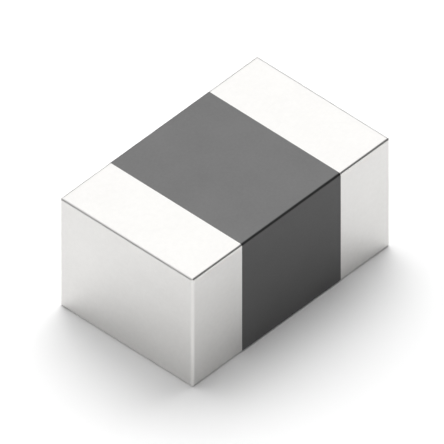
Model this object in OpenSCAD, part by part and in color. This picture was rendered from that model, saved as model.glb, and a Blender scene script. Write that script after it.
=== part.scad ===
/* [Chip] */
// Length over both terminals
chip_length = 2.0; // [1.6:0.05:3.2]
// Width of the chip
chip_width = 1.25; // [1.0:0.05:2.5]
// Height of the chip
chip_height = 1.0; // [0.85:0.05:1.6]
// Radius of the tumbled outer edges
edge_radius = 0.0225; // [0.01:0.0025:0.05]

/* [Terminals] */
// How far each terminal reaches along the chip
terminal_band = 0.5; // [0.3:0.05:0.65]
// Fired silver on the four faces that the band wraps
silver_band_thickness = 0.02; // [0.01:0.005:0.04]
// Fired silver on the end face
silver_end_thickness = 0.03; // [0.015:0.005:0.06]
// Nickel plated over the silver
nickel_thickness = 0.002; // [0.001:0.001:0.004]
// Tin plated over the nickel
tin_thickness = 0.005; // [0.003:0.001:0.01]

/* [Coil] */
// Number of printed patterns, three quarters of a turn each
pattern_count = 11; // [3:1:15]
// Width of the printed trace
trace_width = 0.16; // [0.1:0.01:0.2]
// Thickness of the fired trace
trace_thickness = 0.03; // [0.02:0.005:0.04]
// Ferrite between one pattern and the next
sheet_thickness = 0.025; // [0.015:0.005:0.035]
// Ferrite between the trace and the chip's long sides
side_margin = 0.2; // [0.15:0.01:0.28]
// Distance from the trace to the chip's end faces
end_margin = 0.28; // [0.2:0.01:0.4]
// Radius of the trace's bends, to its centre line
bend_radius = 0.15; // [0.11:0.01:0.2]
// Width of the lead-outs that meet the terminals
lead_width = 0.24; // [0.2:0.01:0.3]

/* [Vias] */
// Diameter of the silver-filled holes between patterns
via_diameter = 0.1; // [0.06:0.01:0.14]
// Diameter of the round land over and under each via
land_diameter = 0.2; // [0.16:0.01:0.24]

/* [Hidden] */
SIDES = ["left", "right"];
$fn = 64;

chip_size = [chip_length, chip_width, chip_height];
plating_thickness = tin_thickness + nickel_thickness;
// What the three terminal layers take off the block at its ends, for each side of the chip
terminal_thickness = [
    plating_thickness + silver_end_thickness,
    plating_thickness + silver_band_thickness,
    plating_thickness + silver_band_thickness
];
core_size = chip_size - 2 * terminal_thickness;
belt_length = chip_length - 2 * terminal_band;

// Half the length and half the width of the coil, along the trace's centre line
coil_half_length = chip_length / 2 - end_margin - trace_width / 2;
coil_half_width = chip_width / 2 - side_margin - trace_width / 2;
layer_pitch = trace_thickness + sheet_thickness;
stack_height = pattern_count * trace_thickness + (pattern_count - 1) * sheet_thickness;
stack_bottom = (chip_height - stack_height) / 2;

// Corners of the coil, counterclockwise from the left front one
CORNERS = [
    [-coil_half_length, -coil_half_width],
    [coil_half_length, -coil_half_width],
    [coil_half_length, coil_half_width],
    [-coil_half_length, coil_half_width]
];
TURN_SIDES = 3;
FIRST_CORNER = 0;

// Each pattern starts at the corner where the one under it ended
function start_corner(i) = (FIRST_CORNER + TURN_SIDES * i) % 4;
// The last pattern stops at a right-hand corner, so that its lead runs straight out
function last_sides(start) = start == 1 ? 1 : (5 - start) % 4;
function side_count(i) = i < pattern_count - 1 ? TURN_SIDES : last_sides(start_corner(i));
function end_corner(i) = (start_corner(i) + side_count(i)) % 4;
function layer_height(i) = stack_bottom + i * layer_pitch;
// A plated layer keeps its thickness round an edge, so the form under it has a smaller radius
function radius_under(depth) = max(edge_radius - depth, 0);

module rounded_rectangle(size, radius) {
    if (radius > 0) {
        square([size.x - 2 * radius, size.y], center = true);
        square([size.x, size.y - 2 * radius], center = true);
        for (x = [-1, 1], y = [-1, 1])
            translate([x * (size.x / 2 - radius), y * (size.y / 2 - radius)])
                circle(radius);
    } else {
        square(size, center = true);
    }
}

// Bar along X with the four long edges rounded
module bar(size, radius) {
    rotate([90, 0, 90])
        linear_extrude(size.x, center = true)
            rounded_rectangle([size.y, size.z], radius);
}

// Block with all twelve edges rounded, centred on the origin
module tumbled_block(size, radius) {
    intersection() {
        bar(size, radius);
        rotate([90, 0, 0])
            linear_extrude(size.y, center = true)
                rounded_rectangle([size.x, size.z], radius);
        linear_extrude(size.z, center = true)
            rounded_rectangle([size.x, size.y], radius);
    }
}

// Straight stretch of trace from one point to another
module run(from, to, width) {
    way = to - from;
    translate(from)
        rotate(atan2(way.y, way.x))
            translate([0, -width / 2])
                square([norm(way), width]);
}

// Side of the coil from a corner to the next, shortened where a bend takes over
module side_run(corner, bend_at_start, bend_at_end) {
    from = CORNERS[corner];
    to = CORNERS[(corner + 1) % 4];
    along = (to - from) / norm(to - from);
    run(
        from + along * (bend_at_start ? bend_radius : 0),
        to - along * (bend_at_end ? bend_radius : 0),
        trace_width
    );
}

// Quarter ring that turns the trace round a corner
module bend(corner) {
    outer = bend_radius + trace_width / 2;
    point = CORNERS[corner];
    centre = [
        point.x - sign(point.x) * bend_radius,
        point.y - sign(point.y) * bend_radius
    ];
    translate(centre)
        rotate(corner * 90)
            intersection() {
                difference() {
                    circle(outer);
                    circle(bend_radius - trace_width / 2);
                }
                translate([-outer, -outer])
                    square(outer);
            }
}

module land(corner) {
    translate(CORNERS[corner])
        circle(d = land_diameter);
}

// Tab from a corner straight out to the end of the block
module lead(corner) {
    point = CORNERS[corner];
    side = sign(point.x);
    run(
        [point.x - side * trace_width / 2, point.y],
        [side * core_size.x / 2, point.y],
        lead_width
    );
}

// Plan of one printed pattern, numbered from 0 at the bottom
module pattern_plan(i) {
    start = start_corner(i);
    sides = side_count(i);
    for (k = [0:sides - 1])
        side_run((start + k) % 4, k > 0, k < sides - 1);
    for (k = [1:1:sides - 1])
        bend((start + k) % 4);
    if (i == 0)
        lead(start);
    else
        land(start);
    if (i == pattern_count - 1)
        lead(end_corner(i));
    else
        land(end_corner(i));
}

module pattern(i) {
    translate([0, 0, layer_height(i)])
        linear_extrude(trace_thickness)
            pattern_plan(i);
}

// Silver in the hole from one pattern up to the next
module via_fill(i) {
    translate(concat(CORNERS[end_corner(i)], layer_height(i) + trace_thickness))
        cylinder(h = sheet_thickness, d = via_diameter);
}

// Form under a given depth of plating, in the middle of the chip's height
module plated_form(depth) {
    tumbled_block(chip_size - 2 * [depth, depth, depth], radius_under(depth));
}

module core_form() {
    tumbled_block(core_size, edge_radius);
}

// Puts a right-hand terminal layer on the chip's left or right end, cut off where the band ends
module terminal(side) {
    translate([0, 0, chip_height / 2])
        rotate(side == "left" ? 180 : 0)
            intersection() {
                children();
                translate([chip_length / 2 - terminal_band / 2, 0, 0])
                    cube([terminal_band, chip_width, chip_height], center = true);
            }
}

module ferrite_body() {
    color("#7f7f7f")
        difference() {
            translate([0, 0, chip_height / 2]) {
                core_form();
                bar([belt_length, chip_width, chip_height], edge_radius);
            }
            for (i = [0:pattern_count - 1])
                pattern(i);
            for (i = [0:pattern_count - 2])
                via_fill(i);
        }
}

module coil_layer(number) {
    color("#d8d6cf")
        pattern(number - 1);
}

module via(number) {
    color("#cfccc4")
        via_fill(number - 1);
}

module base_electrode(side) {
    color("#c9c7c0")
        terminal(side)
            difference() {
                plated_form(plating_thickness);
                core_form();
            }
}

module nickel_barrier(side) {
    color("#b9b6ac")
        terminal(side)
            difference() {
                plated_form(tin_thickness);
                plated_form(plating_thickness);
            }
}

module tin_finish(side) {
    color("#f1f0ed")
        terminal(side)
            difference() {
                plated_form(0);
                plated_form(tin_thickness);
            }
}

ferrite_body();
for (i = [1:pattern_count])
    coil_layer(i);
for (i = [1:pattern_count - 1])
    via(i);
for (side = SIDES)
    base_electrode(side);
for (side = SIDES)
    nickel_barrier(side);
for (side = SIDES)
    tin_finish(side);
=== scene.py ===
"""Multilayer ferrite chip inductor: the finish of each piece, the studio and the photograph's camera."""
import logging
import math
from collections.abc import Mapping
from dataclasses import dataclass, field
from enum import Enum

import bpy
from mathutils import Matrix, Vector


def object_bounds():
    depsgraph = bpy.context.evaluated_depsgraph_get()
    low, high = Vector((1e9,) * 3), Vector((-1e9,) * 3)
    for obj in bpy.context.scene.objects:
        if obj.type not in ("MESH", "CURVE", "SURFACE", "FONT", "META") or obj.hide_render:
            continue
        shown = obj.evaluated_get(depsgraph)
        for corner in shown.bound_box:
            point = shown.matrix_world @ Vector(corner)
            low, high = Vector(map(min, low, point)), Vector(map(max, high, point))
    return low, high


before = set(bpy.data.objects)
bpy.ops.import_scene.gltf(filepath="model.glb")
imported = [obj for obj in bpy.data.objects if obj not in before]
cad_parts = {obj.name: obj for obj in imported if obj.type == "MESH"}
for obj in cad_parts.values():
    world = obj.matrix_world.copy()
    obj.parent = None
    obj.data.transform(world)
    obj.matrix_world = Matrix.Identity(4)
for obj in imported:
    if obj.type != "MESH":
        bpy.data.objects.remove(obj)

CAD_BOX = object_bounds()
MM = 0.001
MICRON = 1e-6
WHITE = "#ffffff"
# The part of the grain's and the cloud's range over which a finish goes from its first tone and
# roughness to its second
MOTTLE_SPAN = (0.35, 0.65)
# How much of that mottle is grain, and how much is cloud
GRAIN_SHARE = 0.5
CLOUD_SHARE = 0.5
# How squarely a surface faces one of the block's axes, as a cosine: on an edge, and on a flat face
EDGE_FACING = (0.85, 0.995)
# Where the camera stands at an azimuth of 0, on the compass of toward(): on the -Y side
CAMERA_ZERO_DEG = -90.0

log = logging.getLogger("chip_inductor")


class Side(Enum):
    """The chip's two ends."""

    LEFT = "left"
    RIGHT = "right"


def srgb(hex_colour: str) -> tuple[float, float, float, float]:
    """Turn an sRGB hex colour to linear RGBA.

    Args:
        hex_colour: Six hex digits after a hash sign.

    Returns:
        Linear red, green, blue and an alpha of 1.
    """
    channels = [int(hex_colour[i:i + 2], 16) / 255 for i in (1, 3, 5)]
    linear = [c / 12.92 if c <= 0.04045 else ((c + 0.055) / 1.055) ** 2.4 for c in channels]
    return (linear[0], linear[1], linear[2], 1.0)


def add_node(
    tree: bpy.types.NodeTree,
    kind: str,
    settings: Mapping[str, object] | None = None,
    inputs: Mapping[str | int, object] | None = None,
) -> bpy.types.Node:
    """Add a shader node with its settings and links.

    Args:
        tree: The node tree that gets the node.
        kind: Blender's name for the kind of node.
        settings: The node's own properties, by name.
        inputs: Its sockets by name or number, each with a value or the socket to link to it.

    Returns:
        The new node.
    """
    node = tree.nodes.new(kind)
    for name, value in (settings or {}).items():
        setattr(node, name, value)
    for name, value in (inputs or {}).items():
        if isinstance(value, bpy.types.NodeSocket):
            tree.links.new(value, node.inputs[name])
        else:
            node.inputs[name].default_value = value
    return node


@dataclass(frozen=True)
class Grain:
    """A surface's grain: its width as drawn, its height, and the tones and roughness it goes between.

    Detail and fineness belong to the noise that draws it: how many finer layers it has, and how
    strong each is beside the one before.
    """

    width_mm: float
    relief_micron: float
    tones: tuple[str, str]
    roughness: tuple[float, float]
    detail: float = 3.0
    fineness: float = 0.6


@dataclass(frozen=True)
class EdgeShadeAndBurnish:
    """Painted shade on a surface's rounded edges, as a darker tone, and the metallic value that rubbing
    gives it there.
    """

    # The darker tone on the rounded edges is painted shade.
    tone: str
    metallic: float


@dataclass(frozen=True)
class Finish:
    """A procedural material with one fine grain and one broad cloud over it, and, where given, painted
    shade on its rounded edges.
    """

    name: str
    grain: Grain
    cloud_mm: float
    metallic: float
    ior: float = 1.5
    # Painted shade on the rounded edges, with the rubbed metallic value there
    edge_shade_and_burnish: EdgeShadeAndBurnish | None = None
    cloud_detail: float = 2.0

    def material(self) -> bpy.types.Material:
        """Build the material.

        Returns:
            The new material.
        """
        material = bpy.data.materials.new(self.name)
        material.use_nodes = True
        tree = material.node_tree
        tree.nodes.clear()
        place = add_node(tree, "ShaderNodeTexCoord").outputs["Object"]
        grain = add_node(
            tree, "ShaderNodeTexNoise",
            inputs={"Vector": place, "Scale": 1 / (self.grain.width_mm * MM),
                    "Detail": self.grain.detail, "Roughness": self.grain.fineness},
        ).outputs["Fac"]
        cloud = add_node(
            tree, "ShaderNodeTexNoise",
            inputs={"Vector": place, "Scale": 1 / (self.cloud_mm * MM), "Detail": self.cloud_detail},
        ).outputs["Fac"]
        grain_part = add_node(
            tree, "ShaderNodeMath", {"operation": "MULTIPLY"}, {0: grain, 1: GRAIN_SHARE},
        ).outputs[0]
        mottle = add_node(
            tree, "ShaderNodeMath", {"operation": "MULTIPLY_ADD"},
            {0: cloud, 1: CLOUD_SHARE, 2: grain_part},
        ).outputs[0]
        ramp = add_node(tree, "ShaderNodeValToRGB", inputs={"Fac": mottle})
        for element, position, tone in zip(ramp.color_ramp.elements, MOTTLE_SPAN, self.grain.tones):
            element.position = position
            element.color = srgb(tone)
        roughness = add_node(
            tree, "ShaderNodeMapRange",
            inputs={"Value": mottle, "From Min": MOTTLE_SPAN[0], "From Max": MOTTLE_SPAN[1],
                    "To Min": self.grain.roughness[0], "To Max": self.grain.roughness[1]},
        ).outputs["Result"]
        relief = add_node(
            tree, "ShaderNodeBump",
            inputs={"Height": grain, "Strength": 1.0, "Distance": self.grain.relief_micron * MICRON},
        ).outputs["Normal"]
        tone, metallic = self.shade_and_rub_edges(tree, ramp.outputs["Color"])
        shader = add_node(
            tree, "ShaderNodeBsdfPrincipled",
            inputs={"Base Color": tone, "Metallic": metallic, "Roughness": roughness, "IOR": self.ior,
                    "Normal": relief},
        )
        add_node(tree, "ShaderNodeOutputMaterial", inputs={"Surface": shader.outputs["BSDF"]})
        return material

    def shade_and_rub_edges(
        self, tree: bpy.types.NodeTree, tone: bpy.types.NodeSocket,
    ) -> tuple[bpy.types.NodeSocket, bpy.types.NodeSocket | float]:
        """Paint shade on the rounded edges of a finish as a darker tone, and give them the rubbed
        metallic value.

        Args:
            tree: The material's node tree.
            tone: The tone of the flat faces.

        Returns:
            The tone with its painted edge shade, and the metallic value, which stays a plain number
            where it is the same all over.
        """
        if self.edge_shade_and_burnish is None:
            return tone, self.metallic
        flat = self.flatness(tree)
        # Painted shade: the edge tone darkens the rounded edges.
        edge_shaded_tone = add_node(
            tree, "ShaderNodeMix", {"data_type": "RGBA"},
            {"Factor": flat, "A": srgb(self.edge_shade_and_burnish.tone), "B": tone},
        ).outputs["Result"]
        if self.edge_shade_and_burnish.metallic == self.metallic:
            return edge_shaded_tone, self.metallic
        rubbed_metallic = add_node(
            tree, "ShaderNodeMapRange",
            inputs={"Value": flat, "To Min": self.edge_shade_and_burnish.metallic, "To Max": self.metallic},
        ).outputs["Result"]
        return edge_shaded_tone, rubbed_metallic

    @staticmethod
    def flatness(tree: bpy.types.NodeTree) -> bpy.types.NodeSocket:
        """Tell flat faces from rounded edges, which face between two of the block's axes.

        Args:
            tree: The material's node tree.

        Returns:
            A value of 1 on flat faces, which fades to 0 on rounded edges.
        """
        normal = add_node(tree, "ShaderNodeTexCoord").outputs["Normal"]
        facing = add_node(tree, "ShaderNodeVectorMath", {"operation": "ABSOLUTE"}, {0: normal})
        axes = add_node(tree, "ShaderNodeSeparateXYZ", inputs={0: facing.outputs["Vector"]}).outputs
        across = add_node(
            tree, "ShaderNodeMath", {"operation": "MAXIMUM"}, {0: axes["X"], 1: axes["Y"]},
        ).outputs[0]
        most = add_node(
            tree, "ShaderNodeMath", {"operation": "MAXIMUM"}, {0: across, 1: axes["Z"]},
        ).outputs[0]
        return add_node(
            tree, "ShaderNodeMapRange", {"interpolation_type": "SMOOTHSTEP"},
            {"Value": most, "From Min": EDGE_FACING[0], "From Max": EDGE_FACING[1]},
        ).outputs["Result"]


# Nickel-zinc ferrite, sintered and tumbled: a satin, stone-like dark grey, with painted shade on its
# rounded edges.
# The fired grains are 2 to 10 microns wide, and are drawn a little over that so that they show. The IOR
# is matched to the photograph, where the sides mirror less than dense ferrite would.
SINTERED_FERRITE = Finish(
    name="sintered_ferrite",
    grain=Grain(
        width_mm=0.016, relief_micron=0.3, tones=("#626262", "#6a6a6a"), roughness=(0.36, 0.44)),
    cloud_mm=0.35,
    metallic=0.0,
    ior=1.45,
    # Painted shade: a near-black tone on the rounded edges; the metallic value stays as on the faces.
    edge_shade_and_burnish=EdgeShadeAndBurnish(tone="#202020", metallic=0.0),
)

# Matt tin, electroplated and not reflowed: a pale satin metal whose fine crystals scatter a part of the
# light evenly, so that it stays light where it mirrors something dark. The crystals are 2 to 5 microns
# wide, and are drawn about ten times that, as the soft mottle that they make. Along the edges they are
# rubbed smooth, so there the tin mirrors more and scatters less, and a painted shade darkens them too.
MATT_TIN_PLATE = Finish(
    name="matt_tin_plate",
    grain=Grain(
        width_mm=0.035, relief_micron=0.08, tones=("#e3e2e0", "#e8e7e5"), roughness=(0.28, 0.32)),
    cloud_mm=0.5,
    metallic=0.8,
    # Painted shade: a slightly darker tone on the rounded edges, where the rubbed tin is fully metallic.
    edge_shade_and_burnish=EdgeShadeAndBurnish(tone="#dbdad8", metallic=1.0),
)

# Electroplated nickel: a warm grey metal, darker and a little smoother than the tin over it. Its grains
# are about a micron wide, and are drawn eight times that so that they show.
PLATED_NICKEL = Finish(
    name="plated_nickel",
    grain=Grain(
        width_mm=0.008, relief_micron=0.1, tones=("#cfc8bb", "#d6d0c4"), roughness=(0.24, 0.3)),
    cloud_mm=0.4,
    metallic=1.0,
)

# Silver paste, dipped or printed and then fired: a dull white metal with fine pores, up to 10 microns
# wide, which are drawn at that width.
FIRED_SILVER = Finish(
    name="fired_silver",
    grain=Grain(
        width_mm=0.01, relief_micron=0.5, tones=("#dcdad4", "#e9e7e1"), roughness=(0.48, 0.6)),
    cloud_mm=0.3,
    metallic=1.0,
)


def dress(node: str, material: bpy.types.Material) -> None:
    """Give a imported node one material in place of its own.

    Args:
        node: The node's name.
        material: The material that it gets.
    """
    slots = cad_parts[node].data.materials
    slots.clear()
    slots.append(material)
    log.info("%s: %s", node, material.name)


@dataclass
class FerriteBlock:
    """The fired block that holds the coil."""

    node: str = "ferrite_body"
    finish: Finish = SINTERED_FERRITE

    def dress(self) -> None:
        """Dress the block."""
        dress(self.node, self.finish.material())


@dataclass
class PrintedCoil:
    """The silver patterns and the silver-filled holes that join them."""

    patterns: list[str] = field(
        default_factory=lambda: sorted(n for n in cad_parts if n.startswith("coil_layer_")))
    vias: list[str] = field(
        default_factory=lambda: sorted(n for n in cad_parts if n.startswith("via_")))
    finish: Finish = FIRED_SILVER

    def dress(self) -> None:
        """Dress the patterns and the vias in the same fired paste."""
        material = self.finish.material()
        for node in self.patterns + self.vias:
            dress(node, material)


@dataclass
class Terminals:
    """The dipped silver, plated nickel and plated tin on each end."""

    sides: tuple[Side, ...] = (Side.LEFT, Side.RIGHT)
    layers: tuple[tuple[str, Finish], ...] = (
        ("base_electrode", FIRED_SILVER),
        ("nickel_barrier", PLATED_NICKEL),
        ("tin_finish", MATT_TIN_PLATE),
    )

    def dress(self) -> None:
        """Dress both ends, one layer at a time."""
        for layer, finish in self.layers:
            material = finish.material()
            for side in self.sides:
                dress(f"{layer}_{side.value}", material)


def toward(azimuth_deg: float, elevation_deg: float) -> Vector:
    """Turn a compass direction to a unit vector.

    Args:
        azimuth_deg: Angle round from +X towards +Y.
        elevation_deg: Angle up from the floor.

    Returns:
        The vector that points that way.
    """
    azimuth, elevation = math.radians(azimuth_deg), math.radians(elevation_deg)
    return Vector((
        math.cos(elevation) * math.cos(azimuth),
        math.cos(elevation) * math.sin(azimuth),
        math.sin(elevation),
    ))


@dataclass(frozen=True)
class Softbox:
    """A square soft lamp that faces the chip, and that the chip doesn't mirror."""

    name: str
    azimuth_deg: float
    elevation_deg: float
    width_mm: float
    radiance: float
    distance_mm: float = 100.0

    def build(self, target: Vector) -> None:
        """Add the lamp to the scene.

        Args:
            target: The point that it faces.
        """
        width = self.width_mm * MM
        data = bpy.data.lights.new(self.name, "AREA")
        data.shape = "SQUARE"
        data.size = width
        data.energy = self.radiance * math.pi * width ** 2
        lamp = bpy.data.objects.new(self.name, data)
        bpy.context.scene.collection.objects.link(lamp)
        away = toward(self.azimuth_deg, self.elevation_deg)
        lamp.location = target + away * self.distance_mm * MM
        lamp.rotation_mode = "QUATERNION"
        lamp.rotation_quaternion = away.to_track_quat("Z", "Y")
        lamp.visible_camera = False
        lamp.visible_glossy = False
        log.info("%s: lamp", self.name)


@dataclass(frozen=True)
class Dome:
    """A pale cloth dome behind the chip that fades to a dim room in front, over a low grey wall.

    The cloth ends in the same dim room at its foot, and the room's far side, opposite the cloth, is a
    lighter grey. Under the horizon all is white, as the paper is on which the chip lies.
    """

    azimuth_deg: float = 60.0
    elevation_deg: float = 20.0
    side_fade: tuple[float, float] = (0.0, 0.54)
    foot_fade: tuple[float, float] = (0.19, 0.56)
    wall_fade: tuple[float, float] = (0.2, 0.34)
    far_fade: tuple[float, float] = (-0.6, -0.25)
    radiance: float = 1.32
    room_radiance: float = 0.04
    wall_radiance: float = 0.39
    far_radiance: float = 0.28

    def build(self) -> None:
        """Build the world as that dome."""
        world = bpy.data.worlds.new("studio_dome")
        bpy.context.scene.world = world
        world.use_nodes = True
        tree = world.node_tree
        tree.nodes.clear()
        way = add_node(tree, "ShaderNodeTexCoord").outputs["Generated"]
        facing = add_node(
            tree, "ShaderNodeVectorMath", {"operation": "DOT_PRODUCT"},
            {0: way, 1: toward(self.azimuth_deg, self.elevation_deg)},
        ).outputs["Value"]
        height = add_node(tree, "ShaderNodeSeparateXYZ", inputs={0: way}).outputs["Z"]
        cloth = add_node(
            tree, "ShaderNodeMapRange", {"interpolation_type": "SMOOTHSTEP"},
            {"Value": height, "From Min": self.foot_fade[0], "From Max": self.foot_fade[1],
             "To Min": self.room_radiance, "To Max": self.radiance},
        ).outputs["Result"]
        far_side = add_node(
            tree, "ShaderNodeMapRange", {"interpolation_type": "SMOOTHSTEP"},
            {"Value": facing, "From Min": self.far_fade[0], "From Max": self.far_fade[1],
             "To Min": self.far_radiance, "To Max": self.room_radiance},
        ).outputs["Result"]
        room = add_node(
            tree, "ShaderNodeMapRange", {"interpolation_type": "SMOOTHSTEP"},
            {"Value": height, "From Min": self.wall_fade[0], "From Max": self.wall_fade[1],
             "To Min": self.wall_radiance, "To Max": far_side},
        ).outputs["Result"]
        over_floor = add_node(
            tree, "ShaderNodeMapRange", {"interpolation_type": "SMOOTHSTEP"},
            {"Value": facing, "From Min": self.side_fade[0], "From Max": self.side_fade[1],
             "To Min": room, "To Max": cloth},
        ).outputs["Result"]
        under_floor = add_node(
            tree, "ShaderNodeMath", {"operation": "LESS_THAN"}, {0: height, 1: 0.0},
        ).outputs[0]
        level = add_node(
            tree, "ShaderNodeMath", {"operation": "MAXIMUM"}, {0: over_floor, 1: under_floor},
        ).outputs[0]
        light = add_node(
            tree, "ShaderNodeBackground", inputs={"Color": srgb(WHITE), "Strength": level})
        add_node(tree, "ShaderNodeOutputWorld", inputs={"Surface": light.outputs["Background"]})
        log.info("%s: world", world.name)


@dataclass(frozen=True)
class Floor:
    """White paper that keeps the chip's shadow and is white round it.

    To the camera and in the metal it is a little over white, so that it clips to a plain background.
    The light that it throws back on the chip is that of a grey.
    """

    half_width_mm: float = 150.0
    bounce_tone: str = "#5c5c5c"
    seen_gain: float = 1.02

    def build(self) -> None:
        """Build the floor."""
        half = self.half_width_mm * MM
        mesh = bpy.data.meshes.new("floor")
        corners = [(-half, -half, 0), (half, -half, 0), (half, half, 0), (-half, half, 0)]
        mesh.from_pydata(corners, [], [(0, 1, 2, 3)])
        floor = bpy.data.objects.new("floor", mesh)
        bpy.context.scene.collection.objects.link(floor)
        mesh.materials.append(self.paper())
        log.info("floor: %s", mesh.materials[0].name)

    def paper(self) -> bpy.types.Material:
        """Build the paper's material.

        Returns:
            The new material.
        """
        material = bpy.data.materials.new("floor_paper")
        material.use_nodes = True
        tree = material.node_tree
        tree.nodes.clear()
        path = add_node(tree, "ShaderNodeLightPath").outputs
        mirrored = add_node(
            tree, "ShaderNodeMath", {"operation": "MAXIMUM"},
            {0: path["Is Glossy Ray"], 1: path["Is Transmission Ray"]},
        ).outputs[0]
        seen = add_node(
            tree, "ShaderNodeMath", {"operation": "MAXIMUM"}, {0: path["Is Camera Ray"], 1: mirrored},
        ).outputs[0]
        plain = add_node(tree, "ShaderNodeBsdfDiffuse", inputs={"Color": srgb(self.bounce_tone)})
        gain = self.seen_gain
        white = add_node(tree, "ShaderNodeBsdfDiffuse", inputs={"Color": (gain, gain, gain, 1.0)})
        paper = add_node(
            tree, "ShaderNodeMixShader",
            inputs={0: seen, 1: plain.outputs["BSDF"], 2: white.outputs["BSDF"]})
        add_node(tree, "ShaderNodeOutputMaterial", inputs={"Surface": paper.outputs["Shader"]})
        return material


@dataclass
class Studio:
    """The floor, the dome and the soft lamps."""

    floor: Floor = Floor()
    dome: Dome = Dome()
    lamps: tuple[Softbox, ...] = (
        Softbox("key_softbox", azimuth_deg=30.0, elevation_deg=70.0, width_mm=80.0, radiance=1.27),
        Softbox("back_softbox", azimuth_deg=45.0, elevation_deg=50.0, width_mm=130.0, radiance=0.95),
        Softbox("side_softbox", azimuth_deg=180.0, elevation_deg=25.0, width_mm=80.0, radiance=0.7),
    )

    def build(self) -> None:
        """Build them all."""
        self.floor.build()
        self.dome.build()
        low, high = CAD_BOX
        for lamp in self.lamps:
            lamp.build((low + high) / 2)


@dataclass(frozen=True)
class PhotoCamera:
    """The photograph's camera: far off with a long lens, so its view has no perspective to see."""

    azimuth_deg: float = -47.12
    elevation_deg: float = 42.06
    view_width_mm: float = 3.0599
    side_step_mm: float = -0.0202
    rise_mm: float = -0.0028
    distance_mm: float = 8.0
    nearest_mm: float = 0.1
    farthest_mm: float = 1000.0

    def build(self) -> None:
        """Add the camera and make it the scene's own."""
        low, high = CAD_BOX
        azimuth = math.radians(self.azimuth_deg)
        back = toward(self.azimuth_deg + CAMERA_ZERO_DEG, self.elevation_deg)
        right = Vector((math.cos(azimuth), math.sin(azimuth), 0.0))
        up = back.cross(right)
        step = (back * self.distance_mm + right * self.side_step_mm + up * self.rise_mm) * MM
        data = bpy.data.cameras.new("photo_camera")
        data.type = "ORTHO"
        data.ortho_scale = self.view_width_mm * MM
        data.clip_start = self.nearest_mm * MM
        data.clip_end = self.farthest_mm * MM
        camera = bpy.data.objects.new("photo_camera", data)
        bpy.context.scene.collection.objects.link(camera)
        bpy.context.scene.camera = camera
        camera.location = (low + high) / 2 + step
        camera.rotation_mode = "QUATERNION"
        camera.rotation_quaternion = back.to_track_quat("Z", "Y")
        log.info("photo_camera: azimuth %.2f, elevation %.2f", self.azimuth_deg, self.elevation_deg)


def main() -> None:
    """Build the camera and the studio, and dress the chip from the inside out."""
    logging.basicConfig(level=logging.INFO, format="%(name)s: %(message)s")
    bpy.context.scene.view_settings.view_transform = "Standard"
    PhotoCamera().build()
    Studio().build()
    PrintedCoil().dress()
    FerriteBlock().dress()
    Terminals().dress()


if __name__ == "__main__":
    main()
